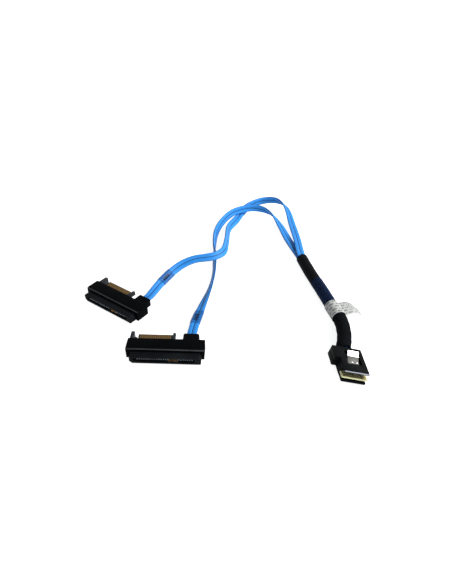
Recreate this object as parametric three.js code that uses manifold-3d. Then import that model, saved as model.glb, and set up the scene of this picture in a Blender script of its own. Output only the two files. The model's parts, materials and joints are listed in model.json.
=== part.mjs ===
// Mini SAS breakout cable: one plug, a sleeved trunk, and two flat ribbons with a drive connector each.
// Millimetres, +Z up. The origin is on the surface that the cable lies on, in the middle of its connectors.

import * as THREE from 'three';
import { mergeVertices } from 'three/addons/utils/BufferGeometryUtils.js';
import Module from 'manifold-3d';

const wasm = await Module();
wasm.setup();

// Clearance between pieces that touch or nest.
const gap = 0.3;

// Drive connector, receptacle: the shroud that a drive plugs into.
const slotWidth = 35.6;
const slotHeight = 2.8;
const slotDepth = 4.3;
const slotCentre = -0.1;
const leftCheek = 2.3;
const rightCheek = 3.7;
const lowerLip = 1.0;
const upperLip = 0.8;
const slotEndWall = 0.5;
const shroudLift = 0.6;
const keyChamfer = 1.6;
const topChamfer = 1.4;
const shroudEdge = 0.25;

// Its contacts, a power row and a signal row above the slot and a second signal row below it.
const contactPitch = 1.27;
const contactWidth = 0.5;
const contactHeight = 0.35;
const powerContacts = 15;
const signalContacts = 7;
const rowGap = 6.35;
const combDepth = 0.9;
const combHeight = 0.6;
const combWidth = 0.62;

// Three thin ribs on top of the shroud.
const ribWidth = 0.3;
const ribHeight = 0.12;
const ribPitch = 1.6;
const ribMargin = 0.7;

// Its tail, which sits in the housing.
const tailInset = 0.8;
const tailStep = 0.9;
const tailTopStep = 0.3;
const tailDepth = 2.0;

// Circuit board behind the tail.
const boardDepth = 6.0;
const boardThickness = 1.0;
const boardInset = 0.4;

// Housing.
const leftShoulder = 2.8;
const rightShoulder = 1.6;
const roofThickness = 1.8;
const backWall = 1.2;
const housingEdge = 0.5;
const cornerEdge = 0.7;

// Cable boot, one moulding with the housing.
const bootCentre = 14.1;
const bootWidth = 9.6;
const bootLength = 6.4;
const bootHeight = 5.1;
const bootLift = 0.3;
const bootEdge = 0.8;

// Power header at the back of the housing.
const headerLeft = -22.3;
const headerRight = 4.6;
const headerBase = 1.3;
const headerLift = 1.2;
const headerHeight = 4.8;
const headerLedge = 3.2;
const leftArmWidth = 2.1;
const leftArmReach = 5.0;
const rightArmWidth = 1.6;
const rightArmReach = 5.6;
const rightArmHeight = 2.6;
const tongueLeft = -17.9;
const tongueReach = 4.8;
const tongueThickness = 1.2;
const tongueLift = 3.0;
const tongueRim = 0.35;
const padWidth = 0.8;
const padHeight = 0.12;
const windowInset = 0.9;
const headerTailHeight = 2.6;

// Wire cores inside the mouldings.
const coreDiameter = 0.7;
const coreSpacing = 1.4;
const driveCores = 4;
const driveCoreStart = 4.5;

// Mini SAS plug, with x across, y from its front to the cable and z up from its underside.
const plugWidth = 15.0;
const plugLength = 19.9;
const plateReach = 4.0;
const lowerPlate = 1.3;
const lowerPlateInset = 0.15;
const lowerPlateLead = 0.9;
const upperPlate = 1.2;
const plateEdge = 0.35;
const wingWidth = 3.0;
const wingLength = 9.2;
const wingLift = 0.4;
const nubWidth = 0.5;
const nubReach = 0.2;
const nubPlace = 8.5;
const keySlotWidth = 1.1;
const keySlotLength = 0.4;
const keySlotPlace = [3.65, 5.8];

// Paddle card.
const cardFloor = 2.2;
const cardThickness = 1.0;
const cardWidth = 11.8;
const cardHeadWidth = 15.8;
const cardHead = 4.2;
const cardLead = 0.5;
const cardEnd = 16.0;
const cardContacts = 18;
const cardPitch = 0.8;
const cardPadWidth = 0.4;
const cardPadLength = 3.0;
const cardPadHeight = 0.1;

// Core room behind the card.
const coreRoomCentre = -0.3;
const coreRoomStart = 12.5;
const coreRoomDepth = 1.0;
const plugCores = 4;

// Latch, one bent strip of sheet steel.
const cardRoof = 0.8;
const channelHeight = 1.4;
const channelEnd = 11.5;
const channelStep = 0.8;
const latchCentre = 0.5;
const latchWidth = 6.8;
const latchThickness = 0.35;
const latchRoot = 2.0;
const latchBend = 8.0;
const latchSlope = 10.5;
const latchPad = 12.6;
const latchEnd = 15.3;
const padRise = 2.0;
const hookWidth = 0.9;
const hookSpacing = 2.8;
const hookThickness = 0.5;
const hookRise = 0.3;
const windowStart = 6.8;
const windowEnd = 17.0;
const windowMargin = 0.9;

// Places of the connectors: x, y, z, turn about Z, roll about the connector's own length.
const drivePlaces = [
  { x: -66.99, y: 21.17, turn: -0.621 },
  { x: -28.15, y: -25.61, turn: -0.04 },
];
const plugPlace = { x: 77.19, y: -46.15, z: 2.14, turn: 0.061, roll: 0.289 };

// Ribbons, with two lobes and a groove between them. The banks are in degrees.
const ribbonWidth = 6.1;
const ribbonThickness = 1.6;
const grooveThickness = 0.9;
const ribbonStack = 0.98;
const ribbonSteps = 78;

// The trunk's route from the plug to the split: x, y, z and bank.
const trunkRoute = [
  [76.47, -25.76, 5.1, 16.5],
  [76.23, -21.77, 5.07, 16.5],
  [77.99, -15.3, 4.95, 16],
  [79.19, -6.2, 4.85, 15],
  [78.89, 3.6, 4.8, 13],
  [75.69, 17.2, 4.8, 12],
  [71.49, 35.9, 4.55, 10],
  [67.09, 53.4, 4.35, 8],
  [62.89, 72.5, 4.6, 8],
];

// Each ribbon's own route from the split to its drive connector.
const ribbonRoutes = [
  [
    [62.34, 102, 4, 4],
    [61.14, 123.9, 3.2, 10],
    [58.24, 147.4, 6.2, 34],
    [51.14, 159.9, 6.1, 78],
    [39.14, 163.1, 4.3, 99],
    [27.04, 155.4, 3.4, 114],
    [19.99, 144.8, 1.4, 172],
    [15.99, 133.6, 2.2, 154],
    [9.74, 115.7, 4.6, 122],
    [8.04, 95, 5.9, 120],
    [5.74, 78.1, 7.6, 133],
    [-1.46, 69.8, 8.4, 143],
    [-14.86, 66.9, 7.8, 147],
    [-24.16, 63.1, 5.7, 140],
    [-31.46, 56.1, 3.5, 140],
    [-38.06, 44.6, 2.5, 153],
    [-43.21, 30.8, 3, 172],
    [-45.88, 26.53, 3.15, 180],
  ],
  [
    [56.49, 102, 1.4, 2],
    [51.44, 122.7, 2.9, 20],
    [45.64, 137.6, 4.9, 55],
    [37.34, 145.4, 5.7, 85],
    [26.34, 145.6, 6.5, 102],
    [13.14, 138.9, 6, 110],
    [4.54, 127.6, 3.9, 115],
    [-0.26, 111.8, 3.3, 116],
    [-1.46, 93.1, 3.5, 104],
    [-0.96, 76, 3.3, 72],
    [-1.06, 57.2, 3.3, 70],
    [-3.36, 39.6, 3.2, 58],
    [-7.66, 21.6, 2.9, 26],
    [-11.16, 6.4, 2.9, 0],
    [-12.66, -2.8, 3.1, 0],
    [-13.44, -9.5, 3.15, 0],
  ],
];

// Sleeves on the trunk, one after the other.
const sleeveBore = 3.85;
const tapeThickness = 0.65;
const meshThickness = 0.35;
const shrinkThickness = 0.3;
const tapeStart = 1.4;
const tapeEnd = 31.2;
const meshLength = 39.2;
const sleeveSides = 12;
const sleeveStep = 4.5;

// Label round the mesh, with a free flag that leaves it on the right.
const labelThickness = 0.2;
const labelLength = 12.4;
const labelStart = 0.6;
const flagReach = 11.5;
const flagRise = 0.9;
const flagDroop = 2.6;
const flagSteps = 6;

// Clear marker band on each ribbon, measured from its end at the drive connector.
const bandThickness = 0.2;
const bandLength = 12.4;
const bandPlaces = [21.2, 11.4];

// Materials.
const black = new THREE.MeshStandardMaterial({ color: '#15171a', roughness: 0.6 });
const charcoal = new THREE.MeshStandardMaterial({ color: '#33373b', roughness: 0.5 });
const slate = new THREE.MeshStandardMaterial({ color: '#2b3038', roughness: 0.5 });
const steel = new THREE.MeshStandardMaterial({ color: '#d9dadb', roughness: 0.25, metalness: 1 });
const copper = new THREE.MeshStandardMaterial({ color: '#c27a45', roughness: 0.4, metalness: 1 });
const board = new THREE.MeshStandardMaterial({ color: '#2f5c34', roughness: 0.5 });
const card = new THREE.MeshStandardMaterial({ color: '#c9c98c', roughness: 0.5 });
const ribbonBlue = new THREE.MeshStandardMaterial({ color: '#3d97f2', roughness: 0.4 });
const meshNavy = new THREE.MeshStandardMaterial({ color: '#101a33', roughness: 0.8 });
const shrinkBlack = new THREE.MeshStandardMaterial({ color: '#232629', roughness: 0.55 });
const tapeBlack = new THREE.MeshStandardMaterial({ color: '#2a2d30', roughness: 0.85 });
const labelWhite = new THREE.MeshStandardMaterial({ color: '#e6e6e2', roughness: 0.6 });
const bandClear = new THREE.MeshStandardMaterial({ color: '#9cc8f0', roughness: 0.2 });

const alongX = new THREE.Vector3(1, 0, 0);
const alongY = new THREE.Vector3(0, 1, 0);
const alongZ = new THREE.Vector3(0, 0, 1);

// Solid from a closed geometry.
function solid(geometry) {
  geometry.deleteAttribute('normal');
  geometry.deleteAttribute('uv');
  const merged = mergeVertices(geometry);
  return new wasm.Manifold(new wasm.Mesh({
    numProp: 3,
    vertProperties: merged.attributes.position.array,
    triVerts: Uint32Array.from(merged.index.array),
  }));
}

// Box between two opposite corners.
function box(x0, x1, y0, y1, z0, z1) {
  const shape = new THREE.BoxGeometry(x1 - x0, y1 - y0, z1 - z0);
  shape.translate((x0 + x1) / 2, (y0 + y1) / 2, (z0 + z1) / 2);
  return solid(shape);
}

// Outline extruded from one place to another along its plane's normal.
const planes = {
  xy: [alongX, alongY, alongZ],
  yz: [alongY, alongZ, alongX],
  zx: [alongZ, alongX, alongY],
};

function prism(plane, outline, from, to) {
  const shape = new THREE.Shape(outline.map(([a, b]) => new THREE.Vector2(a, b)));
  const geometry = new THREE.ExtrudeGeometry(shape, { depth: to - from, bevelEnabled: false });
  geometry.translate(0, 0, from);
  geometry.applyMatrix4(new THREE.Matrix4().makeBasis(...planes[plane]));
  return solid(geometry);
}

// Corners of a rectangle cut off by one length each, in the order of its sides.
function cutRectangle(a0, a1, b0, b1, cuts) {
  const [c00, c10, c11, c01] = cuts;
  const corners = [
    [a0 + c00, b0],
    [a1 - c10, b0],
    [a1, b0 + c10],
    [a1, b1 - c11],
    [a1 - c11, b1],
    [a0 + c01, b1],
    [a0, b1 - c01],
    [a0, b0 + c00],
  ];
  return corners.filter(([a, b], i) => {
    const [c, d] = corners[(i + 7) % 8];
    return a !== c || b !== d;
  });
}

// Round wire core along Y.
function core(x, y0, y1, z) {
  const geometry = new THREE.CylinderGeometry(coreDiameter / 2, coreDiameter / 2, y1 - y0, 8);
  geometry.translate(x, (y0 + y1) / 2, z);
  return solid(geometry);
}

function piece(name, body, material) {
  const { vertProperties, triVerts } = body.getMesh();
  const geometry = new THREE.BufferGeometry();
  geometry.setAttribute('position', new THREE.BufferAttribute(vertProperties, 3));
  geometry.setIndex(new THREE.BufferAttribute(triVerts, 1));
  geometry.computeVertexNormals();
  const mesh = new THREE.Mesh(geometry, material);
  mesh.name = name;
  return mesh;
}

// Places in a row, centred on a middle.
function spread(count, pitch, middle) {
  return Array.from({ length: count }, (_, i) => middle + (i - (count - 1) / 2) * pitch);
}

// Drive connector. The housing's front face is at y = 0, and the cable leaves towards +Y.
const shroudLeft = slotCentre - slotWidth / 2 - leftCheek;
const shroudRight = slotCentre + slotWidth / 2 + rightCheek;
const slotFloor = shroudLift + lowerLip;
const slotRoof = slotFloor + slotHeight;
const shroudTop = slotRoof + upperLip;
const shroudFront = -gap - slotEndWall - slotDepth;
const tailLeft = shroudLeft + tailInset;
const tailRight = shroudRight - tailInset;
const tailBottom = shroudLift + tailStep;
const tailTop = shroudTop - tailTopStep;
const boardFront = tailDepth + gap;
const boardBack = boardFront + boardDepth;
const boardTop = tailBottom + boardThickness;
const cavityBack = boardBack + gap;
const housingLeft = shroudLeft - leftShoulder;
const housingRight = shroudRight + rightShoulder;
const housingFloor = tailBottom - gap;
const housingRoof = tailTop + gap;
const housingHeight = housingRoof + roofThickness;
const housingDepth = cavityBack + backWall;
const bootEnd = housingDepth + bootLength;
const driveCoreHeight = boardTop + gap + coreDiameter / 2;
const headerTailBottom = boardTop - gap;
const headerTailLeft = tongueLeft + windowInset;
const headerTailRight = headerRight - rightArmWidth - windowInset;

function housing() {
  const along = cutRectangle(0, housingDepth, 0, housingHeight, [0, 0, housingEdge, housingEdge]);
  const across = cutRectangle(housingLeft, housingRight, 0, housingDepth, [0, 0, cornerEdge, cornerEdge]);
  const shell = prism('yz', along, housingLeft, housingRight)
    .intersect(prism('xy', across, 0, housingHeight));
  const bootLeft = bootCentre - bootWidth / 2;
  const bootRight = bootCentre + bootWidth / 2;
  const bootTop = bootLift + bootHeight;
  const bootOutline = cutRectangle(bootLift, bootTop, bootLeft, bootRight, [0, bootEdge, bootEdge, 0]);
  const boot = prism('zx', bootOutline, cavityBack, bootEnd);
  const room = box(tailLeft - gap, tailRight + gap, -gap, cavityBack, housingFloor, housingRoof);
  const coreRoom = (driveCores - 1) / 2 * coreSpacing + coreDiameter / 2 + gap;
  const channel = box(bootCentre - coreRoom, bootCentre + coreRoom, boardBack, bootEnd + gap,
    boardTop, boardTop + coreDiameter + 2 * gap);
  const window = box(headerTailLeft - gap, headerTailRight + gap, boardBack, housingDepth + gap,
    headerTailBottom - gap, headerTailBottom + headerTailHeight + gap);
  return shell.add(boot).subtract(room).subtract(channel).subtract(window);
}

function receptacle() {
  const face = cutRectangle(shroudLift, shroudTop, shroudLeft, shroudRight,
    [keyChamfer, shroudEdge, topChamfer, shroudEdge]);
  const shroud = prism('zx', face, shroudFront, -gap);
  const tail = box(tailLeft, tailRight, -2 * gap, tailDepth, tailBottom, tailTop);
  const slotLeft = slotCentre - slotWidth / 2;
  const slotRight = slotCentre + slotWidth / 2;
  const slotBack = shroudFront + slotDepth;
  const slot = box(slotLeft, slotRight, shroudFront - gap, slotBack, slotFloor, slotRoof);
  let body = shroud.add(tail).subtract(slot);

  const rowSpan = (powerContacts + signalContacts - 2) * contactPitch + rowGap;
  const powerMiddle = slotCentre - rowSpan / 2 + (powerContacts - 1) / 2 * contactPitch;
  const signalMiddle = slotCentre + rowSpan / 2 - (signalContacts - 1) / 2 * contactPitch;
  const upperRow = [
    ...spread(powerContacts, contactPitch, powerMiddle),
    ...spread(signalContacts, contactPitch, signalMiddle),
  ];
  for (const x of upperRow) {
    body = body.subtract(box(x - combWidth / 2, x + combWidth / 2, shroudFront - gap, shroudFront + combDepth,
      slotRoof - combHeight, slotRoof + combHeight));
    body = body.add(box(x - contactWidth / 2, x + contactWidth / 2, shroudFront + combDepth / 2,
      slotBack + slotEndWall / 2, slotRoof - contactHeight, slotRoof + combHeight));
  }
  const lowerMiddle = (powerMiddle + (powerContacts - 1) / 2 * contactPitch
    + signalMiddle - (signalContacts - 1) / 2 * contactPitch) / 2;
  for (const x of spread(signalContacts, rowGap / (signalContacts + 1), lowerMiddle)) {
    body = body.add(box(x - contactWidth / 2, x + contactWidth / 2, shroudFront + combDepth,
      slotBack + slotEndWall / 2, slotFloor - lowerLip / 2, slotFloor + contactHeight));
  }
  for (const x of spread(3, ribPitch, slotCentre)) {
    body = body.add(box(x - ribWidth / 2, x + ribWidth / 2, shroudFront + ribMargin, -gap - ribMargin,
      shroudTop - upperLip / 2, shroudTop + ribHeight));
  }
  return body;
}

function circuitBoard() {
  return box(tailLeft + boardInset, tailRight - boardInset, boardFront, boardBack, tailBottom, boardTop);
}

function powerHeader() {
  const front = housingDepth + gap;
  const back = front + headerBase;
  const top = headerLift + headerHeight;
  const tongueBack = back + tongueReach;
  const tongueRight = headerRight - rightArmWidth;
  const tongueTop = tongueLift + tongueThickness;
  const ledge = headerLift + headerLedge;
  const base = box(headerLeft, headerRight, front, back, headerLift, top - padHeight)
    .subtract(box(tongueLeft, tongueRight, front + tongueRim, back + gap, ledge, top + gap));
  const leftArm = box(headerLeft, headerLeft + leftArmWidth, front, back + leftArmReach, headerLift, top);
  const armBottom = headerLift + (headerHeight - rightArmHeight) / 2;
  const rightArm = box(tongueRight, headerRight, front, back + rightArmReach,
    armBottom, armBottom + rightArmHeight);
  const edge = tongueThickness / 3;
  const tongueSide = cutRectangle(back - headerBase / 2, tongueBack, tongueLift, tongueTop, [0, edge, edge, 0]);
  const tongue = prism('yz', tongueSide, tongueLeft, tongueRight + rightArmWidth / 2);
  const tail = box(headerTailLeft, headerTailRight, boardBack + gap, front + headerBase / 2,
    headerTailBottom, headerTailBottom + headerTailHeight);
  let body = base.add(leftArm).add(rightArm).add(tongue).add(tail);
  const padMiddle = (tongueLeft + tongueRight) / 2;
  for (const x of spread(powerContacts, contactPitch, padMiddle)) {
    body = body.add(box(x - padWidth / 2, x + padWidth / 2, back - headerBase / 4, tongueBack - tongueRim - edge / 2,
      tongueTop - tongueThickness / 2, tongueTop + padHeight));
  }
  return body;
}

function driveConnector(name, place) {
  const connector = new THREE.Group();
  connector.position.set(place.x, place.y, 0);
  connector.rotation.z = place.turn;
  connector.add(piece(`${name}_housing`, housing(), black));
  connector.add(piece(`${name}_receptacle`, receptacle(), charcoal));
  connector.add(piece(`${name}_circuit_board`, circuitBoard(), board));
  connector.add(piece(`${name}_power_header`, powerHeader(), slate));
  spread(driveCores, coreSpacing, bootCentre).forEach((x, i) => {
    const wire = core(x, driveCoreStart, bootEnd - gap, driveCoreHeight);
    connector.add(piece(`${name}_core_${i + 1}`, wire, copper));
  });
  return connector;
}

// Mini SAS plug. Its two shells meet at the top of the paddle card.
const halfPlug = plugWidth / 2;
const wingLeft = -halfPlug - wingWidth;
const wingFront = plugLength - wingLength;
const cardBottom = cardFloor + gap;
const cardTop = cardBottom + cardThickness;
const seam = cardTop;
const upperBottom = seam + gap;
const channelFloor = upperBottom + cardRoof;
const channelRoof = channelFloor + channelHeight;
const plugTop = channelRoof + upperPlate;
const upperCoreHeight = cardTop + gap + coreDiameter / 2;
const lowerCoreHeight = cardBottom - gap - coreDiameter / 2;
const coreRoomHalf = (plugCores - 1) / 2 * coreSpacing + coreDiameter / 2 + gap;
const coreRoomLeft = coreRoomCentre - coreRoomHalf;
const coreRoomRight = coreRoomCentre + coreRoomHalf;
const coreRoomTop = upperBottom + coreRoomDepth;
const latchLeft = latchCentre - latchWidth / 2;
const latchRight = latchCentre + latchWidth / 2;
const latchRootHeight = channelFloor + channelHeight * 0.62;

function lowerShell() {
  const body = box(-halfPlug, halfPlug, plateReach, plugLength, 0, seam);
  const plate = box(-halfPlug + lowerPlateInset, halfPlug - lowerPlateInset, -lowerPlateLead, plateReach + gap,
    0, lowerPlate);
  const wing = box(wingLeft, -halfPlug + gap, wingFront, plugLength, wingLift, seam);
  const cardRoom = box(-cardWidth / 2 - gap, cardWidth / 2 + gap, plateReach - gap, cardEnd + gap,
    cardFloor, seam + gap);
  const coreRoom = box(coreRoomLeft, coreRoomRight, coreRoomStart, plugLength + gap,
    lowerCoreHeight - coreDiameter / 2 - gap, seam + gap);
  return body.subtract(cardRoom).subtract(coreRoom).add(plate).add(wing);
}

function upperShell() {
  const body = box(-halfPlug, halfPlug, plateReach, plugLength, upperBottom, plugTop);
  const plateSide = cutRectangle(0, plateReach + gap, channelRoof, plugTop, [plateEdge, 0, 0, plateEdge]);
  const plate = prism('yz', plateSide, -halfPlug, halfPlug);
  const wing = box(wingLeft, -halfPlug + gap, wingFront, plugLength, upperBottom, plugTop);
  const nub = box(halfPlug - gap, halfPlug + nubReach, nubPlace - nubWidth / 2, nubPlace + nubWidth / 2,
    upperBottom, plugTop - upperPlate / 2);
  const channel = box(latchLeft - gap, latchRight + gap, plateReach - gap, channelEnd, channelFloor, channelRoof);
  const window = box(latchLeft - windowMargin, latchRight + windowMargin, windowStart, channelEnd,
    channelFloor, plugTop + gap);
  const shelf = box(latchLeft - windowMargin, latchRight + windowMargin, channelEnd - gap, windowEnd,
    channelFloor + channelStep, plugTop + gap);
  const coreRoom = box(coreRoomLeft, coreRoomRight, coreRoomStart, plugLength + gap,
    upperBottom - gap, coreRoomTop);
  const [slotX, slotY] = keySlotPlace;
  const keySlot = box(slotX - keySlotWidth / 2, slotX + keySlotWidth / 2, slotY - keySlotLength / 2,
    slotY + keySlotLength / 2, plugTop - upperPlate / 3, plugTop + gap);
  return body.subtract(channel).add(plate).add(wing).add(nub)
    .subtract(window).subtract(shelf).subtract(coreRoom).subtract(keySlot);
}

function paddleCard() {
  const head = box(-cardHeadWidth / 2, cardHeadWidth / 2, -cardLead, cardHead - cardLead, cardBottom, cardTop - cardPadHeight);
  const stem = box(-cardWidth / 2, cardWidth / 2, 0, cardEnd, cardBottom + cardPadHeight, cardTop - cardPadHeight);
  let body = head.add(stem);
  for (const x of spread(cardContacts, cardPitch, 0)) {
    body = body.add(box(x - cardPadWidth / 2, x + cardPadWidth / 2, 0, cardPadLength,
      cardBottom + cardThickness / 2, cardTop));
  }
  return body;
}

// The latch's centre line, from its root in the channel to the end of its press pad.
function latch() {
  const line = [
    [latchRoot, latchRootHeight],
    [latchBend, latchRootHeight],
    [latchSlope, plugTop - 0.9 * upperPlate],
    [latchPad, plugTop + padRise / 10],
    [latchEnd, plugTop + padRise],
  ].map(([y, z]) => new THREE.Vector2(y, z));
  const sides = line.map((point, i) => {
    const before = line[Math.max(i - 1, 0)];
    const after = line[Math.min(i + 1, line.length - 1)];
    const way = after.clone().sub(before).normalize();
    return new THREE.Vector2(-way.y, way.x).multiplyScalar(latchThickness / 2);
  });
  const lower = line.map((point, i) => point.clone().sub(sides[i]));
  const upper = line.map((point, i) => point.clone().add(sides[i]));
  const outline = [...lower, ...upper.reverse()].map((point) => [point.x, point.y]);
  let body = prism('yz', outline, latchLeft, latchRight);
  for (const x of spread(2, hookSpacing, latchCentre - gap)) {
    body = body.add(box(x - hookWidth / 2, x + hookWidth / 2, latchBend - hookThickness, latchBend,
      latchRootHeight, plugTop + hookRise));
  }
  return body;
}

function plug() {
  const connector = new THREE.Group();
  connector.position.set(plugPlace.x, plugPlace.y, plugPlace.z);
  connector.rotation.set(0, plugPlace.roll, plugPlace.turn, 'ZYX');
  connector.add(piece('plug_lower_shell', lowerShell(), black));
  connector.add(piece('plug_upper_shell', upperShell(), black));
  connector.add(piece('paddle_card', paddleCard(), card));
  connector.add(piece('latch', latch(), steel));
  [upperCoreHeight, lowerCoreHeight].forEach((z, row) => {
    spread(plugCores, coreSpacing, coreRoomCentre).forEach((x, i) => {
      const wire = core(x, coreRoomStart + gap, plugLength - gap, z);
      connector.add(piece(`plug_core_${row * plugCores + i + 1}`, wire, copper));
    });
  });
  return connector;
}

// Route of a flat or round cord through points with a bank each. A bank of 0 lies flat.
class BankedRoute {
  constructor(points) {
    this.curve = new THREE.CatmullRomCurve3(
      points.map(([x, y, z]) => new THREE.Vector3(x, y, z)), false, 'catmullrom', 0.5);
    this.curve.arcLengthDivisions = 2000;
    this.banks = points.map((point) => THREE.MathUtils.degToRad(point[3]));
    this.length = this.curve.getLength();
  }

  bank(t) {
    const place = t * (this.banks.length - 1);
    const i = Math.min(Math.floor(place), this.banks.length - 2);
    const at = (k) => {
      if (k < 0) return 2 * this.banks[0] - this.banks[1];
      if (k >= this.banks.length) return 2 * this.banks.at(-1) - this.banks.at(-2);
      return this.banks[k];
    };
    const u = place - i;
    const [a, b, c, d] = [at(i - 1), at(i), at(i + 1), at(i + 2)];
    return b + u * ((c - a) + u * ((2 * a - 5 * b + 4 * c - d) + u * (3 * b - a - 3 * c + d))) / 2;
  }

  // Width and thickness directions at a share of the length.
  frame(share) {
    const t = this.curve.getUtoTmapping(share);
    const tangent = this.curve.getTangent(t).normalize();
    const flat = alongZ.clone().cross(tangent).normalize();
    const up = tangent.clone().cross(flat);
    const bank = this.bank(t);
    const wide = flat.multiplyScalar(Math.cos(bank)).addScaledVector(up, Math.sin(bank));
    return { tangent, wide, thick: tangent.clone().cross(wide) };
  }

  // Points of a parallel route, moved across the thickness.
  beside(points, distance) {
    return points.map(([x, y, z, bank], i) => {
      const t = i / (points.length - 1);
      const tangent = this.curve.getTangent(t).normalize();
      const flat = alongZ.clone().cross(tangent).normalize();
      const up = tangent.clone().cross(flat);
      const turn = this.bank(t);
      const thick = up.multiplyScalar(Math.cos(turn)).addScaledVector(flat, -Math.sin(turn));
      return [x + thick.x * distance, y + thick.y * distance, z + thick.z * distance, bank];
    });
  }
}

// Stretch of a route between two lengths, for an ExtrudeGeometry.
class Stretch extends THREE.Curve {
  constructor(route, from, to) {
    super();
    this.route = route;
    this.from = from / route.length;
    this.to = to / route.length;
  }

  getPoint(t, target = new THREE.Vector3()) {
    return target.copy(this.route.curve.getPointAt(this.from + (this.to - this.from) * t));
  }

  computeFrenetFrames(segments) {
    const frames = Array.from({ length: segments + 1 },
      (_, i) => this.route.frame(this.from + (this.to - this.from) * i / segments));
    return {
      tangents: frames.map((frame) => frame.tangent),
      normals: frames.map((frame) => frame.wide),
      binormals: frames.map((frame) => frame.thick),
    };
  }
}

function sweep(shape, route, from, to, steps) {
  const extrudePath = new Stretch(route, from, to);
  return solid(new THREE.ExtrudeGeometry(shape, { steps, extrudePath, bevelEnabled: false }));
}

// Round tube along the trunk.
function tube(route, bore, wall, from, to) {
  const circle = (radius) => Array.from({ length: sleeveSides }, (_, i) => {
    const angle = i / sleeveSides * 2 * Math.PI;
    return new THREE.Vector2(radius * Math.cos(angle), radius * Math.sin(angle));
  });
  const shape = new THREE.Shape(circle(bore + wall));
  shape.holes.push(new THREE.Path(circle(bore).reverse()));
  return sweep(shape, route, from, to, Math.ceil((to - from) / sleeveStep));
}

// Two lobes with a groove between them, grown by a clearance on every side.
function ribbonOutline(grow) {
  const half = ribbonWidth / 2 + grow;
  const lobe = ribbonThickness / 2 + grow;
  const groove = grooveThickness / 2 + grow;
  const side = ribbonThickness / 2;
  const right = [[half, 0], [half - side * 0.55, lobe * 0.87], [half - side * 1.9, lobe]];
  const upper = [...right, [0, groove], ...right.slice(1).reverse().map(([x, y]) => [-x, y])];
  const lower = upper.map(([x, y]) => [-x, -y]);
  const around = [...upper, ...lower];
  return around.map(([x, y]) => new THREE.Vector2(x, y));
}

function band(route, place) {
  const shape = new THREE.Shape(ribbonOutline(gap + bandThickness));
  shape.holes.push(new THREE.Path(ribbonOutline(gap).reverse()));
  const start = route.length - place - bandLength;
  return sweep(shape, route, start, start + bandLength, 4);
}

function label(route, from) {
  const bore = sleeveBore + meshThickness + gap;
  const ring = tube(route, bore, labelThickness, from, from + labelLength);
  const start = bore + labelThickness / 2;
  const middle = Array.from({ length: flagSteps + 1 }, (_, i) => {
    const share = i / flagSteps;
    const lift = flagRise * Math.sin(Math.PI * Math.min(share * 1.4, 1)) - flagDroop * share ** 3;
    return [-start * 0.86 - flagReach * share, start * 0.5 + lift];
  });
  const upper = middle.map(([x, y]) => new THREE.Vector2(x, y + labelThickness / 2));
  const lower = middle.map(([x, y]) => new THREE.Vector2(x, y - labelThickness / 2));
  const flag = sweep(new THREE.Shape([...upper, ...lower.reverse()]), route,
    from + labelStart, from + labelLength - labelStart, 4);
  return ring.add(flag);
}

const trunk = new BankedRoute(trunkRoute);
const ribbons = ribbonRoutes.map((points, i) => {
  const side = i === 0 ? ribbonStack : -ribbonStack;
  return new BankedRoute([...trunk.beside(trunkRoute, side), ...points]);
});

const cable = new THREE.Group();
drivePlaces.forEach((place, i) => cable.add(driveConnector(`drive_${i + 1}`, place)));
cable.add(plug());
ribbons.forEach((route, i) => {
  const body = sweep(new THREE.Shape(ribbonOutline(0)), route, 0, route.length, ribbonSteps);
  cable.add(piece(`ribbon_${i + 1}`, body, ribbonBlue));
  cable.add(piece(`marker_band_${i + 1}`, band(route, bandPlaces[i]), bandClear));
});
const meshStart = tapeEnd + gap;
const shrinkStart = meshStart + meshLength + gap;
cable.add(piece('tape_wrap', tube(trunk, sleeveBore, tapeThickness, tapeStart, tapeEnd), tapeBlack));
cable.add(piece('mesh_sleeve', tube(trunk, sleeveBore, meshThickness, meshStart, meshStart + meshLength), meshNavy));
cable.add(piece('heat_shrink', tube(trunk, sleeveBore, shrinkThickness, shrinkStart, trunk.length), shrinkBlack));
cable.add(piece('label', label(trunk, meshStart + gap), labelWhite));

export default cable;
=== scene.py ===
# %% [markdown]
# # A Mini SAS breakout cable
# The real object is a server cable: one latched plug, a sleeved trunk, and two flat blue ribbons that each end
# in a drive connector. The imported model gives every piece's real place, so the first cell loads it.

# %% Load the fixed frame
import bisect
import json
import math
import bpy
from mathutils import Matrix, Vector, noise

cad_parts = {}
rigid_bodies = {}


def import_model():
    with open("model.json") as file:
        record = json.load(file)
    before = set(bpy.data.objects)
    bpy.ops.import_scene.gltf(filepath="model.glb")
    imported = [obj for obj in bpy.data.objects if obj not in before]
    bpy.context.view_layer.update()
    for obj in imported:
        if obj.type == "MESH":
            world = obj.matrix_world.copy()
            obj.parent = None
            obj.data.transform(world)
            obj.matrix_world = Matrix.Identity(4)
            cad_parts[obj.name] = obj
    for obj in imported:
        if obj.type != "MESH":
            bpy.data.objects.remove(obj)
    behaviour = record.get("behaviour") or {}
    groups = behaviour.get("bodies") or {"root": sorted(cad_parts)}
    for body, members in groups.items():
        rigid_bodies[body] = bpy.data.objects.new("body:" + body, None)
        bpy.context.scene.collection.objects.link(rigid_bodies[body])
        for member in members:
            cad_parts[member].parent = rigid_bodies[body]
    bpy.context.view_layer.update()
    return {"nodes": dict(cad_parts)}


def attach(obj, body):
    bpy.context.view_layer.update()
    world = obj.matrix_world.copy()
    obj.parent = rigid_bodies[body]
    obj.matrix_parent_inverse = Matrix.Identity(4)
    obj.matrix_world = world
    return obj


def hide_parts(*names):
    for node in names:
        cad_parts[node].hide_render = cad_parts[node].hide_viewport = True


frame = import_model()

MM = 0.001

# %% [markdown]
# ## Camera
# The camera was solved from the two drive connectors: it looks down at 37.5 degrees from a third of a metre
# away. A short distance matters here, because the near connectors look larger than the far loop.

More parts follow.
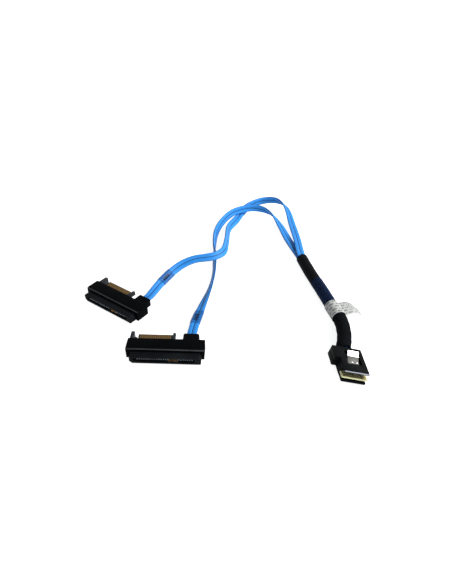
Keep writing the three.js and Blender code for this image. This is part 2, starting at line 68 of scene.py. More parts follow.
# %% Add the camera
VIEW_DOWN = math.radians(37.5)
VIEW_DISTANCE = 354.3 * MM
VIEW_CENTRE = Vector((7.44, 38.3, 0)) * MM
FOCAL_PIXELS = 517.8
PHOTO_HEIGHT = 584
SENSOR_HEIGHT = 36

camera_data = bpy.data.cameras.new("camera")
camera_data.sensor_fit = "VERTICAL"
camera_data.sensor_height = SENSOR_HEIGHT
camera_data.lens = FOCAL_PIXELS / PHOTO_HEIGHT * SENSOR_HEIGHT
camera_data.clip_start = 10 * MM
camera = bpy.data.objects.new("camera", camera_data)
bpy.context.collection.objects.link(camera)
view_back = Vector((0, -math.cos(VIEW_DOWN), math.sin(VIEW_DOWN)))
camera.location = VIEW_CENTRE + VIEW_DISTANCE * view_back
camera.rotation_euler = (math.pi / 2 - VIEW_DOWN, 0, 0)
bpy.context.scene.camera = camera
print("lens, mm:", round(camera_data.lens, 1), "camera, mm:", [round(v / MM, 1) for v in camera.location])

# %% [markdown]
# ## Routes
# A flat cord needs more than a centre line: at each point it also has a bank, the angle by which its flat side
# leans. Catmull-Rom splines pass through every point, so the route is a list of places where the ribbon lies,
# and the bank is splined in the same way. The route gives a small frame at any length: across the width,
# through the thickness and along the cord.


# %% Banked routes
def spline(a, b, c, d, u):
    """Catmull-Rom spline from b to c, with a before them and d after them."""
    return (b + (c - a) * (u / 2)
            + (2 * a - 5 * b + 4 * c - d) * (u * u / 2)
            + (3 * b - a - 3 * c + d) * (u ** 3 / 2))


class Route:
    SAMPLES = 60    # for each pair of points, to measure the length
    NEAR = 1e-3     # half the spline step over which the direction is taken

    def __init__(self, points):
        self.spots = [Vector(p[:3]) * MM for p in points]
        self.banks = [math.radians(p[3]) for p in points]
        self.steps = [i / self.SAMPLES for i in range((len(points) - 1) * self.SAMPLES + 1)]
        path = [self.spot(t) for t in self.steps]
        self.reach = [0.0]
        for before, after in zip(path, path[1:]):
            self.reach.append(self.reach[-1] + (after - before).length)
        self.length = self.reach[-1]

    def blend(self, values, t):
        i = min(int(t), len(values) - 2)
        first = values[i - 1] if i else 2 * values[0] - values[1]
        last = values[i + 2] if i + 2 < len(values) else 2 * values[-1] - values[-2]
        return spline(first, values[i], values[i + 1], last, t - i)

    def spot(self, t):
        return self.blend(self.spots, t)

    def frame(self, t):
        """Width and thickness directions at a spline place."""
        last = len(self.spots) - 1
        tangent = (self.spot(min(t + self.NEAR, last)) - self.spot(max(t - self.NEAR, 0))).normalized()
        flat = Vector((0, 0, 1)).cross(tangent).normalized()
        up = tangent.cross(flat)
        bank = self.blend(self.banks, t)
        wide = flat * math.cos(bank) + up * math.sin(bank)
        return wide, tangent.cross(wide)

    def place(self, length):
        """Spline place at a length along the route."""
        length = min(max(length, 0), self.length)
        high = min(bisect.bisect_right(self.reach, length), len(self.reach) - 1)
        before, after = self.reach[high - 1], self.reach[high]
        return self.steps[high - 1] + (length - before) / (after - before) / self.SAMPLES

    def at(self, length):
        """Spot, width direction and thickness direction at a length along the route."""
        t = self.place(length)
        return (self.spot(t), *self.frame(t))

    def beside(self, points, distance):
        """The route's own points, moved through the thickness."""
        moved = []
        for i, point in enumerate(points):
            spot = self.spots[i] + self.frame(i)[1] * distance * MM
            moved.append([*(spot / MM), point[3]])
        return moved

# %% [markdown]
# ## Where the cords lie
# The points were read off the photograph through the solved camera. One picture can't show a height, so each
# height is a guess that lets the ribbons lie on the table and pass over each other. Both ribbons run through
# the trunk, one above and one below its middle, so they share the trunk's points and part at the split.

# %% The trunk's and the ribbons' points
# The trunk from the plug to the split: x, y, z in mm and bank in degrees.
TRUNK_ROUTE = [
    [76.47, -25.76, 5.1, 16.5],
    [76.23, -21.77, 5.07, 16.5],
    [77.99, -15.3, 4.95, 16],
    [79.19, -6.2, 4.85, 15],
    [78.89, 3.6, 4.8, 13],
    [75.69, 17.2, 4.8, 12],
    [71.49, 35.9, 4.55, 10],
    [67.09, 53.4, 4.35, 8],
    [62.89, 72.5, 4.6, 8],
]

# Each ribbon from the split to its drive connector.
RIBBON_ROUTES = [
    [
        [62.34, 102, 4, 4],
        [61.14, 123.9, 3.2, 10],
        [58.24, 147.4, 6.2, 34],
        [51.14, 159.9, 6.1, 78],
        [39.14, 163.1, 4.3, 99],
        [27.04, 155.4, 3.4, 114],
        [19.99, 144.8, 1.4, 172],
        [15.99, 133.6, 2.2, 154],
        [9.74, 115.7, 4.6, 122],
        [8.04, 95, 5.9, 120],
        [5.74, 78.1, 7.6, 133],
        [-1.46, 69.8, 8.4, 143],
        [-14.86, 66.9, 7.8, 147],
        [-24.16, 63.1, 5.7, 140],
        [-31.46, 56.1, 3.5, 140],
        [-38.06, 44.6, 2.5, 153],
        [-43.21, 30.8, 3, 172],
        [-45.88, 26.53, 3.15, 180],
    ],
    [
        [56.49, 102, 1.4, 2],
        [51.44, 122.7, 2.9, 20],
        [45.64, 137.6, 4.9, 55],
        [37.34, 145.4, 5.7, 85],
        [26.34, 145.6, 6.5, 102],
        [13.14, 138.9, 6, 110],
        [4.54, 127.6, 3.9, 115],
        [-0.26, 111.8, 3.3, 116],
        [-1.46, 93.1, 3.5, 104],
        [-0.96, 76, 3.3, 72],
        [-1.06, 57.2, 3.3, 70],
        [-3.36, 39.6, 3.2, 58],
        [-7.66, 21.6, 2.9, 26],
        [-11.16, 6.4, 2.9, 0],
        [-12.66, -2.8, 3.1, 0],
        [-13.44, -9.5, 3.15, 0],
    ],
]
# From the trunk's middle to each ribbon's, and a ribbon's width, in mm.
STACK = 0.98
RIBBON_WIDTH = 6.1

trunk = Route(TRUNK_ROUTE)
ribbons = []
for points, side in zip(RIBBON_ROUTES, (STACK, -STACK)):
    ribbons.append(Route(trunk.beside(TRUNK_ROUTE, side) + points))
print("trunk, mm:", round(trunk.length / MM, 1))
print("ribbons, mm:", [round(route.length / MM, 1) for route in ribbons])

# %% [markdown]
# ## Sweeping a section
# Each cord piece is a ring of points carried along its route. A modifier could sweep a curve, but the section
# here changes along the way, as tape ridges do, so the rings are placed in code. The UV map is in millimetres:
# u goes round the section and v along the cord, so a weave or a printed mark has its real size.


# %% Sweep helper
def new_piece(name, vertices, faces, uvs):
    """A smooth piece whose object stays at the origin, with a UV pair for each corner of each face."""
    mesh = bpy.data.meshes.new(name)
    mesh.from_pydata(vertices, [], faces)
    layer = mesh.uv_layers.new(name="UVMap")
    for loop, uv in zip(layer.data, uvs):
        loop.uv = uv
    mesh.polygons.foreach_set("use_smooth", [True] * len(faces))
    piece = bpy.data.objects.new(name, mesh)
    bpy.context.collection.objects.link(piece)
    return piece


def sweep(name, route, start, end, steps, section, capped=True):
    """Mesh of section(length) rings from start to end, in mm along the route."""
    rings, lengths = [], []
    for i in range(steps + 1):
        length = start + (end - start) * i / steps
        spot, wide, thick = route.at(length * MM)
        rings.append([spot + (wide * a + thick * b) * MM for a, b in section(length)])
        lengths.append(length)
    count = len(rings[0])
    around = [0.0]
    for i in range(count):
        around.append(around[-1] + (rings[0][(i + 1) % count] - rings[0][i]).length / MM)
    vertices = [v for ring in rings for v in ring]
    faces, uvs = [], []
    for j in range(steps):
        for i in range(count):
            k = (i + 1) % count
            faces.append((j * count + i, j * count + k, (j + 1) * count + k, (j + 1) * count + i))
            near, far = lengths[j] - start, lengths[j + 1] - start
            uvs += [(around[i], near), (around[i + 1], near), (around[i + 1], far), (around[i], far)]
    if capped:
        faces += [tuple(reversed(range(count))), tuple(steps * count + i for i in range(count))]
        uvs += [(0, 0)] * count + [(0, end - start)] * count
    return new_piece(name, vertices, faces, uvs)


# %% [markdown]
# ## The ribbon's section
# A flat pair cable is two round lobes with a thin web between them. Its outline is drawn from two heights: a
# lobe's, which is a little fuller than an ellipse, and the web's, whichever stands higher. A film shrunk round
# the ribbon follows the same outline a little further out, so the section can grow along its own normals.

# %% Section of a ribbon
LOBE_MIDDLE = 1.5
LOBE_REACH = 1.55
LOBE_HEIGHT = 0.8
LOBE_FULLNESS = 2.4
WEB_REACH = 1
WEB_HEIGHT = 0.44
SECTION_STEPS = 14


def ribbon_section(grow=0.0):
    """The ribbon's outline in mm, grown on every side."""
    half = RIBBON_WIDTH / 2
    upper = []
    for i in range(SECTION_STEPS + 1):
        x = -half * math.cos(math.pi * i / SECTION_STEPS)
        lobe = max(1 - abs((abs(x) - LOBE_MIDDLE) / LOBE_REACH) ** LOBE_FULLNESS, 0) ** 0.5 * LOBE_HEIGHT
        web = WEB_HEIGHT if abs(x) < WEB_REACH else 0
        upper.append((x, max(lobe, web)))
    outline = [(-x, y) for x, y in upper] + [(x, -y) for x, y in upper[1:-1]]
    grown = []
    for i, (x, y) in enumerate(outline):
        before, after = outline[i - 1], outline[(i + 1) % len(outline)]
        way = Vector((after[0] - before[0], after[1] - before[1])).normalized()
        grown.append((x + way.y * grow, y - way.x * grow))
    return grown


def quarter_of(outline):
    """A quarter of the way round an outline, in mm."""
    return sum(math.dist(a, b) for a, b in zip(outline, outline[1:] + outline[:1])) / 4


print("round a ribbon, mm:", round(quarter_of(ribbon_section()) * 4, 1))

# %% [markdown]
# ## The ribbons
# Each ribbon has a soft blue jacket, swept whole from the plug to the drive connector's boot. The two run one
# on the other inside the trunk, part at the split and cross twice. A ring every 0.8 mm keeps the bends smooth.

# %% Sweep the two ribbons
RING_STEP = 0.8
ribbon_pieces = []
for number, route in enumerate(ribbons, 1):
    end = route.length / MM
    section = ribbon_section()
    piece = sweep(f"ribbon_{number}_jacket", route, 0, end, round(end / RING_STEP), lambda length: section)
    ribbon_pieces.append(piece)
print("ribbon faces:", [len(piece.data.polygons) for piece in ribbon_pieces])

# %% [markdown]
# ## The trunk's sleeves
# Three sleeves follow each other along the trunk. Cloth tape is wound in a helix, so each turn stands a tape's
# thickness above the last. The braided sleeve is a plain tube whose weave is too fine to model, so it comes
# from the material. Heat-shrink tube takes a little of the ribbons' oval shape, with soft ripples.

# %% Sections of the sleeves
TAPE_START = 1.4
TAPE_END = 31.2
MESH_LENGTH = 39.2
GAP = 0.3
TAPE_RADIUS = 4.22
MESH_RADIUS = 4.14
SHRINK_RADIUS = 4.03
TAPE_TURN = 7.5     # mm along the trunk for each turn of the tape
TAPE_STEP = 0.2     # mm that a turn's edge stands above the last turn
TAPE_RISE = 0.9     # share of a turn over which the tape climbs on to the next
ROUND = 72


def circle(radius):
    """radius(angle) round the trunk."""
    angles = [2 * math.pi * i / ROUND for i in range(ROUND)]
    return [(radius(a) * math.cos(a), radius(a) * math.sin(a)) for a in angles]


def ripple(angle, length, size, run):
    """Smooth noise on a sleeve: a larger size gives more bumps round it, a larger run longer ones."""
    return noise.noise(Vector((math.cos(angle) * size, math.sin(angle) * size, length / run)))


def tape_section(length):
    def radius(angle):
        turn = (length / TAPE_TURN - angle / (2 * math.pi)) % 1
        step = TAPE_STEP * min(turn / TAPE_RISE, (1 - turn) / (1 - TAPE_RISE))
        return TAPE_RADIUS + step + 0.1 * ripple(angle, length, 2, 3)
    return circle(radius)


def mesh_section(length):
    return circle(lambda a: MESH_RADIUS + 0.07 * ripple(a, length, 1, 6) + 0.05 * math.cos(2 * a))


def shrink_section(length):
    return circle(lambda a: SHRINK_RADIUS + 0.08 * ripple(a, length, 1.5, 5) + 0.08 * math.cos(2 * a))


print("tape turns:", round((TAPE_END - TAPE_START) / TAPE_TURN, 1))

# %% [markdown]
# ## Giving a sleeve its wall
# A sleeve is swept as a bare surface, and Solidify gives it the wall of the real tube. Operators act on all
# that is selected, and the loaded nodes still are, so a helper first selects the one piece it works on.


# %% Sweep the tape, braid and shrink tube
def deselect():
    if bpy.context.object and bpy.context.object.mode != "OBJECT":
        bpy.ops.object.mode_set(mode="OBJECT")
    bpy.ops.object.select_all(action="DESELECT")


def choose(piece):
    deselect()
    piece.select_set(True)
    bpy.context.view_layer.objects.active = piece


def finish_with(piece, kind, **settings):
    """Adds one modifier to a piece and applies it."""
    choose(piece)
    modifier = piece.modifiers.new(kind.lower(), kind)
    for key, value in settings.items():
        setattr(modifier, key, value)
    bpy.ops.object.modifier_apply(modifier=modifier.name)


mesh_start = TAPE_END + GAP
mesh_end = mesh_start + MESH_LENGTH
# Name, start, end, rings, section, and wall in mm.
SLEEVES = [
    ("cloth_tape", TAPE_START, TAPE_END, 200, tape_section, 0.3),
    ("braided_sleeve", mesh_start, mesh_end, 120, mesh_section, 0.25),
    ("shrink_tube", mesh_end + GAP, trunk.length / MM, 110, shrink_section, 0.25),
]
sleeves = []
for name, start, end, steps, section, wall in SLEEVES:
    piece = sweep(name, trunk, start, end, steps, section, capped=False)
    finish_with(piece, "SOLIDIFY", thickness=wall * MM, offset=-1)
    sleeves.append(piece)
tape, braid, shrink = sleeves
print("sleeve faces:", [len(piece.data.polygons) for piece in sleeves])

# %% [markdown]
# ## The label
# A white paper label is wrapped once round the braid, and its free end stands off as a flag that rises a
# little and then curls down. It is one sheet: a line round the cord that runs on into the flag, carried along
# the trunk, and then given its thickness.

# %% The label's line
LABEL_LENGTH = 12.4
LABEL_RADIUS = 4.52
LABEL_SPIRAL = 0.12         # mm that the wrap grows over its turn
WRAP_STEPS = 60
FLAG_ROOT = math.radians(150)
FLAG_REACH = 14.5
FLAG_STEPS = 24
FLAG_LIFT = 1.5
FLAG_DROP = 2.6
FLAG_NARROWS = 0.45         # share of its width that the flag loses to the view as it curls
label_start = mesh_start + GAP


def label_line():
    """Points round the cord and out along the flag: wide, thick and the flag's share."""
    points = []
    for i in range(WRAP_STEPS + 1):
        angle = FLAG_ROOT - 2 * math.pi * (1 - i / WRAP_STEPS)
        radius = LABEL_RADIUS + LABEL_SPIRAL * i / WRAP_STEPS
        points.append((radius * math.cos(angle), radius * math.sin(angle), 0))
    x0, y0, _ = points[-1]
    for i in range(1, FLAG_STEPS + 1):
        share = i / FLAG_STEPS
        lift = FLAG_LIFT * math.sin(math.pi * min(share * 1.2, 1)) - FLAG_DROP * share ** 3
        points.append((x0 - FLAG_REACH * share, y0 + lift, share))
    return points


line = label_line()
label_run = [0.0]
for a, b in zip(line, line[1:]):
    label_run.append(label_run[-1] + math.hypot(b[0] - a[0], b[1] - a[1]))
print("label cut, mm:", round(label_run[-1], 1), "by", LABEL_LENGTH)

# %% [markdown]
# ## The sheet from the line
# The line is repeated in rows across the label's width. The rows draw together towards the flag's free end,
# where the real paper is pulled narrower as it curls. Solidify then gives the paper 0.1 mm.

# %% Wrap the label
LABEL_ROWS = 18
vertices, corners, faces = [], [], []
for j in range(LABEL_ROWS + 1):
    for (x, y, share), u in zip(line, label_run):
        pull = 1 - FLAG_NARROWS * share ** 1.5
        length = label_start + LABEL_LENGTH * (0.5 + (j / LABEL_ROWS - 0.5) * pull)
        spot, wide, thick = trunk.at(length * MM)
        vertices.append(spot + (wide * x + thick * y) * MM)
        corners.append((u, j / LABEL_ROWS * LABEL_LENGTH))
count = len(line)
for j in range(LABEL_ROWS):
    for i in range(count - 1):
        faces.append((j * count + i, j * count + i + 1, (j + 1) * count + i + 1, (j + 1) * count + i))
label = new_piece("wrap_label", vertices, faces, [corners[v] for face in faces for v in face])
finish_with(label, "SOLIDIFY", thickness=0.1 * MM, offset=0)
print("label faces:", len(label.data.polygons))

# %% [markdown]
# ## Marker bands
# Near each drive connector a clear film band with a dark printed mark is shrunk round the ribbon. It follows
# the ribbon's own section, a little larger, so it is swept from the grown outline.

# %% Sweep the marker bands
BAND_LENGTH = 12.4
BAND_PLACES = (21.2, 11.4)
FILM_GROWTH = 0.42
FILM_WALL = 0.1
band_pieces = []
for number, (route, place) in enumerate(zip(ribbons, BAND_PLACES), 1):
    start = route.length / MM - place - BAND_LENGTH
    outline = ribbon_section(FILM_GROWTH)
    piece = sweep(f"marker_{number}_film", route, start, start + BAND_LENGTH, 24,
                  lambda length: outline, capped=False)
    finish_with(piece, "SOLIDIFY", thickness=FILM_WALL * MM, offset=-1)
    band_pieces.append(piece)
print("bands from the drive connectors, mm:", BAND_PLACES)

# %% [markdown]
# Each piece moves with its body. The sleeves, the label and the bands ride on the same body as the ribbons.


def stand_for(piece, slot, *nodes, body="cable"):
    """The piece rides on a body, and replaces CAD nodes where some are named."""
    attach(piece, body)
    if nodes:
        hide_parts(*nodes)


stand_for(tape, "tape", "tape_wrap")
stand_for(braid, "mesh", "mesh_sleeve")
stand_for(shrink, "shrink", "heat_shrink")
stand_for(label, "label", "label")
PATH_STEPS = 200
for number, (piece, film, route) in enumerate(zip(ribbon_pieces, band_pieces, ribbons), 1):
    stand_for(piece, "ribbon", f"ribbon_{number}")
    stand_for(film, "band_film", f"marker_band_{number}")
    path = [tuple(route.at(route.length * i / PATH_STEPS)[0]) for i in range(PATH_STEPS + 1)]
print("cords declared:", [piece.name for piece in ribbon_pieces])

# %% [markdown]
# ## Materials
# Colours are written as sRGB hex, as a paint chip would give them, and one function turns them to linear light.
# A second small function adds a node with its settings and links. Every material below starts from what the
# real one is and how its surface was made.


# %% Material helpers
def colour(code):
    channels = [int(code[i:i + 2], 16) / 255 for i in (1, 3, 5)]
    return (*[c / 12.92 if c <= 0.04045 else ((c + 0.055) / 1.055) ** 2.4 for c in channels], 1)


def add_node(tree, kind, values=None, links=None, to=None, **settings):
    """Adds a node: its settings, its input values, what feeds its inputs and what its outputs feed."""
    node = tree.nodes.new(kind)
    for key, value in settings.items():
        setattr(node, key, value)
    for key, value in (values or {}).items():
        node.inputs[key].default_value = value
    for key, socket in (links or {}).items():
        tree.links.new(socket, node.inputs[key])
    for key, socket in (to or {}).items():
        tree.links.new(node.outputs[key], socket)
    return node


def surface(name, base, roughness, metallic=0.0, **inputs):
    """A new material with one surface shader. Gives the material, its tree and the shader."""
    material = bpy.data.materials.new(name)
    material.use_nodes = True
    tree = material.node_tree
    tree.nodes.clear()
    shader = add_node(tree, "ShaderNodeBsdfPrincipled",
                      {"Base Color": colour(base), "Roughness": roughness, "Metallic": metallic, **inputs})
    add_node(tree, "ShaderNodeOutputMaterial", links={"Surface": shader.outputs["BSDF"]})
    material.diffuse_color = colour(base)
    return material, tree, shader


def tone(tree, shader, factor, dark, light, low=0.3, high=0.7):
    """Base colour that goes from dark to light as the factor goes from low to high."""
    ramp = add_node(tree, "ShaderNodeValToRGB", links={"Fac": factor})
    ramp.color_ramp.elements[0].position = low
    ramp.color_ramp.elements[0].color = colour(dark)
    ramp.color_ramp.elements[1].position = high
    ramp.color_ramp.elements[1].color = colour(light)
    tree.links.new(ramp.outputs["Color"], shader.inputs["Base Color"])
    return ramp


print("mid grey in linear light:", round(colour("#808080")[0], 3))

# %% [markdown]
# ### Moulded plastics
# The mouldings are glass-filled ABS, nylon and polyester, moulded in a spark-eroded tool. That gives them a
# fine matte grain of about 0.2 mm and a faint cloudy tone from the flow, so they look black and dry, with
# little shine. One recipe serves them all. The paler edge, lip and comb tones are painted highlights.

# %% Moulded plastic
FLOW_SIZE = 9
GRAIN_SIZE = 0.22
GRAIN_DEPTH = 0.012
# Name, dark tone, light tone, roughness and shine.
MOULDED = [
    ("housing_moulded_abs", "#030405", "#060708", 0.55, 0.01),
    ("receptacle_moulded_nylon", "#0c0e10", "#16191b", 0.5, 0.02),
    ("header_moulded_nylon", "#15181c", "#22262b", 0.45, 0.12),
    # Painted highlights: paler tones for front edges and the plug's lip, where light catches the rounded edge.
    ("moulding_edge_painted_highlight", "#1d2022", "#303436", 0.4, 0.2),
    ("plug_lip_painted_highlight", "#8a919c", "#abb1bb", 0.35, 0.3),
    # Painted highlight: the comb teeth are the socket's nylon, painted paler where light catches their edges.
    ("comb_nylon_painted_highlight", "#4a5258", "#6a737a", 0.42, 0.3),
    ("plug_moulded_pbt", "#060708", "#0c0e0f", 0.5, 0.02),
]
plastics = []
for name, dark, light, roughness, shine in MOULDED:
    material, tree, shader = surface(name, light, roughness, **{"Specular IOR Level": shine})
    spot = add_node(tree, "ShaderNodeTexCoord").outputs["Object"]
    flow = add_node(tree, "ShaderNodeTexNoise", {"Scale": 1 / (FLOW_SIZE * MM), "Detail": 3.0},
                    {"Vector": spot})
    tone(tree, shader, flow.outputs["Fac"], dark, light)
    grit = add_node(tree, "ShaderNodeTexNoise", {"Scale": 1 / (GRAIN_SIZE * MM), "Detail": 2.0},
                    {"Vector": spot})
    add_node(tree, "ShaderNodeBump", {"Distance": GRAIN_DEPTH * MM}, {"Height": grit.outputs["Fac"]},
             {"Normal": shader.inputs["Normal"]})
    plastics.append(material)
(housing_plastic, receptacle_plastic, header_plastic, edge_painted_highlight, lip_painted_highlight, comb_painted_highlight,
 plug_plastic) = plastics
print("moulded finishes:", len(plastics))

# %% [markdown]
# ### Blue ribbon jacket
# The jacket is extruded soft polymer: satin, slightly translucent, with faint lines along its length from the
# die. The lines run along v, so they only vary across u. Painted shade darkens the groove and the two edges,
# where the webs are. Those four lines are a quarter of the outline apart, so u counts them.

# %% Ribbon jacket
JACKET_RELIEF = 0.06
ribbon_jacket, tree, shader = surface("ribbon_extruded_jacket", "#338ae0", 0.5,
                                      **{"Specular IOR Level": 0.18})
uv = add_node(tree, "ShaderNodeUVMap", uv_map="UVMap")
lines = add_node(tree, "ShaderNodeMapping", {"Scale": (1.6, 0.02, 1)}, {"Vector": uv.outputs["UV"]})
die = add_node(tree, "ShaderNodeTexNoise", {"Scale": 1.0, "Detail": 3.0}, {"Vector": lines.outputs["Vector"]})
ramp = tone(tree, shader, die.outputs["Fac"], "#2a80cf", "#368bd8")
quarter = quarter_of(ribbon_section())
split = add_node(tree, "ShaderNodeSeparateXYZ", links={"Vector": uv.outputs["UV"]})
quarters = add_node(tree, "ShaderNodeMath", {1: quarter}, {0: split.outputs["X"]}, operation="DIVIDE")
web = add_node(tree, "ShaderNodeMath", {1: 0.5}, {0: quarters.outputs["Value"]}, operation="PINGPONG")
web_painted_shade = add_node(tree, "ShaderNodeMapRange",
                    {"From Min": 0.03, "From Max": 0.13, "To Min": 1.0, "To Max": 0.0},
                    {"Value": web.outputs["Value"]})
# Painted shade: dark navy in the groove and along the edges.
add_node(tree, "ShaderNodeMix", {"B": colour("#0a2a5c")},
         {"Factor": web_painted_shade.outputs["Result"], "A": ramp.outputs["Color"]},
         {"Result": shader.inputs["Base Color"]}, data_type="RGBA")
add_node(tree, "ShaderNodeBump", {"Distance": JACKET_RELIEF * MM}, {"Height": die.outputs["Fac"]},
         {"Normal": shader.inputs["Normal"]})
print("one web line every", round(quarter, 1), "mm round the jacket")

# %% [markdown]
# ### Braided sleeve
# Navy polyester strands cross at about 45 degrees. Two waves in the UV map, one for each way of the helix, give
# bundles about 0.7 mm apart. The real strands are finer than the render can show, so they are drawn this
# coarse. Between the bundles the blue ribbons glint through.

# %% Braided polyester
BRAID_UNIT = 1.1        # mm in the UV map for one unit of the pattern
WAVE_SCALE = 0.5
WAVE_PERIOD = 0.314     # of the wave texture at a scale of 1
BRAID_RELIEF = 0.25
braid_material, tree, shader = surface("sleeve_braided_polyester", "#080c18", 0.65,
                                       **{"Specular IOR Level": 0.03})
uv = add_node(tree, "ShaderNodeUVMap", uv_map="UVMap")
crossing = add_node(tree, "ShaderNodeMath", operation="MAXIMUM")
for way, turn in enumerate((45, -45)):
    mapping = add_node(tree, "ShaderNodeMapping",
                       {"Rotation": (0, 0, math.radians(turn)), "Scale": (1 / BRAID_UNIT,) * 3},
                       {"Vector": uv.outputs["UV"]})
    add_node(tree, "ShaderNodeTexWave", {"Scale": WAVE_SCALE, "Distortion": 0.6, "Detail": 1.0},
             {"Vector": mapping.outputs["Vector"]}, {"Fac": crossing.inputs[way]},
             wave_type="BANDS", bands_direction="X")
tone(tree, shader, crossing.outputs["Value"], "#2560ba", "#04060b", 0.12, 0.25)
add_node(tree, "ShaderNodeBump", {"Distance": BRAID_RELIEF * MM}, {"Height": crossing.outputs["Value"]},
         {"Normal": shader.inputs["Normal"]})
print("braid bundles, mm apart:", round(BRAID_UNIT * WAVE_PERIOD / WAVE_SCALE, 2))

# %% [markdown]
# ### Heat-shrink
# Heat-shrink is polyolefin tube, drawn tight by hot air. It is satin, with a soft pebble of about a millimetre
# where it follows what lies under it.

# %% Shrink tube
PEBBLE_SIZE = 1.1
PEBBLE_DEPTH = 0.06
shrink_material, tree, shader = surface("shrink_polyolefin", "#0a0c0e", 0.55, **{"Specular IOR Level": 0.02})
spot = add_node(tree, "ShaderNodeTexCoord").outputs["Object"]
pebble = add_node(tree, "ShaderNodeTexNoise", {"Scale": 1 / (PEBBLE_SIZE * MM), "Detail": 3.0},
                  {"Vector": spot})
tone(tree, shader, pebble.outputs["Fac"], "#07080a", "#101214")
add_node(tree, "ShaderNodeBump", {"Distance": PEBBLE_DEPTH * MM}, {"Height": pebble.outputs["Fac"]},
         {"Normal": shader.inputs["Normal"]})
print("shrink tube pebble, mm:", PEBBLE_SIZE)

# %% [markdown]
# ### Cloth tape
# The tape is plain woven cloth with threads 0.4 mm apart, which takes the shine off it. One wave across and
# one along, added together, stand highest where two threads cross.

# %% Cloth tape
THREAD = 0.4
THREAD_RELIEF = 0.04
tape_material, tree, shader = surface("tape_woven_cloth", "#0b0d0f", 0.8, **{"Specular IOR Level": 0.01})
uv = add_node(tree, "ShaderNodeUVMap", uv_map="UVMap")
cloth = add_node(tree, "ShaderNodeMath", operation="ADD")
for way, direction in enumerate("XY"):
    add_node(tree, "ShaderNodeTexWave", {"Scale": WAVE_PERIOD / THREAD, "Distortion": 0.5},
             {"Vector": uv.outputs["UV"]}, {"Fac": cloth.inputs[way]},
             wave_type="BANDS", bands_direction=direction)
tone(tree, shader, cloth.outputs["Value"], "#050607", "#111315", 0.4, 1.5)
add_node(tree, "ShaderNodeBump", {"Distance": THREAD_RELIEF * MM}, {"Height": cloth.outputs["Value"]},
         {"Normal": shader.inputs["Normal"]})
print("tape threads, mm apart:", THREAD)

# %% [markdown]
# ### Label paper
# The label is coated paper with lines of print, drawn as plain grey bars: bricks whose mortar is the paper,
# because a brick texture spaces its bars by itself. The lines have long bars, and a darker block on the flag
# has short ones.

# %% Label paper with plain print bars
PAPER = "#b3b4b1"
BLOCK_START = 4.6       # mm past the wrap's end, and up from the label's lower edge
BLOCK_FADE = 0.2
# Bar and row in mm, gap between bars, ink and shift of every other row.
PRINT = [(4.6, 2.5, 0.85, "#606265", 0.37), (1.3, 1.25, 0.28, "#3c3e41", 0.2)]
label_material, tree, shader = surface("label_coated_paper", PAPER, 0.6, **{"Specular IOR Level": 0.1})
uv = add_node(tree, "ShaderNodeUVMap", uv_map="UVMap")
printed = add_node(tree, "ShaderNodeMix", to={"Result": shader.inputs["Base Color"]}, data_type="RGBA")
for into, (width, height, gap, ink, shift) in zip("AB", PRINT):
    add_node(tree, "ShaderNodeTexBrick",
             {"Scale": 1.0, "Brick Width": width, "Row Height": height, "Mortar Size": gap,
              "Mortar Smooth": 0.2, "Bias": 0.0, "Color1": colour(ink), "Color2": colour("#8b8c8b"),
              "Mortar": colour(PAPER)},
             {"Vector": uv.outputs["UV"]}, {"Color": printed.inputs[into]}, offset=shift)
split = add_node(tree, "ShaderNodeSeparateXYZ", links={"Vector": uv.outputs["UV"]})
area = add_node(tree, "ShaderNodeMath", to={"Value": printed.inputs["Factor"]}, operation="MULTIPLY")
wrapped = 2 * math.pi * LABEL_RADIUS
for way, (axis, start) in enumerate((("X", wrapped + BLOCK_START), ("Y", BLOCK_START))):
    add_node(tree, "ShaderNodeMapRange", {"From Min": start, "From Max": start + BLOCK_FADE},
             {"Value": split.outputs[axis]}, {"Result": area.inputs[way]})
print("print rows, mm:", [row[1] for row in PRINT])

# %% [markdown]
# ### Clear film
# The marker bands are clear polyester film. Film that thin is best drawn as a satin sheet that is mostly
# transparent, with the printed mark opaque on it. The mark is a row of short plain dashes, once above and once
# below, because the ribbons turn over on their way.

# %% Marker film
DASH_PERIOD = 1.7
DASH = (0.3, 1.15)      # from and to, in mm of each period
MARK = (2.8, 9.4)       # from and to, in mm along the band
MARK_HALF = 1.3
CLEAR, OPAQUE = 0.24, 0.97
film_material, tree, shader = surface("marker_clear_film", "#2f6fb4", 0.35, **{"Specular IOR Level": 0.15})
uv = add_node(tree, "ShaderNodeUVMap", uv_map="UVMap")
split = add_node(tree, "ShaderNodeSeparateXYZ", links={"Vector": uv.outputs["UV"]})
top_middle = quarter_of(ribbon_section(FILM_GROWTH))


def between(value, low, high):
    """1 where the value is between two limits, in mm."""
    over = add_node(tree, "ShaderNodeMath", {1: low}, {0: value}, operation="GREATER_THAN")
    under = add_node(tree, "ShaderNodeMath", {1: high}, {0: value}, operation="LESS_THAN")
    return both(over, under)


def both(first, second):
    return add_node(tree, "ShaderNodeMath", links={0: first.outputs["Value"], 1: second.outputs["Value"]},
                    operation="MULTIPLY")


dash = add_node(tree, "ShaderNodeMath", {1: DASH_PERIOD}, {0: split.outputs["Y"]}, operation="MODULO")
side = add_node(tree, "ShaderNodeMath", {1: top_middle * 2}, {0: split.outputs["X"]}, operation="MODULO")
across = between(side.outputs["Value"], top_middle - MARK_HALF, top_middle + MARK_HALF)
along = both(between(dash.outputs["Value"], *DASH), between(split.outputs["Y"], *MARK))
mark = both(along, across).outputs["Value"]
add_node(tree, "ShaderNodeMix", {"A": colour("#1d5596"), "B": colour("#050c1a")}, {"Factor": mark},
         {"Result": shader.inputs["Base Color"]}, data_type="RGBA")
add_node(tree, "ShaderNodeMapRange", {"To Min": CLEAR, "To Max": OPAQUE}, {"Value": mark},
         {"Result": shader.inputs["Alpha"]})
print("film outline, mm:", round(top_middle * 4, 1))
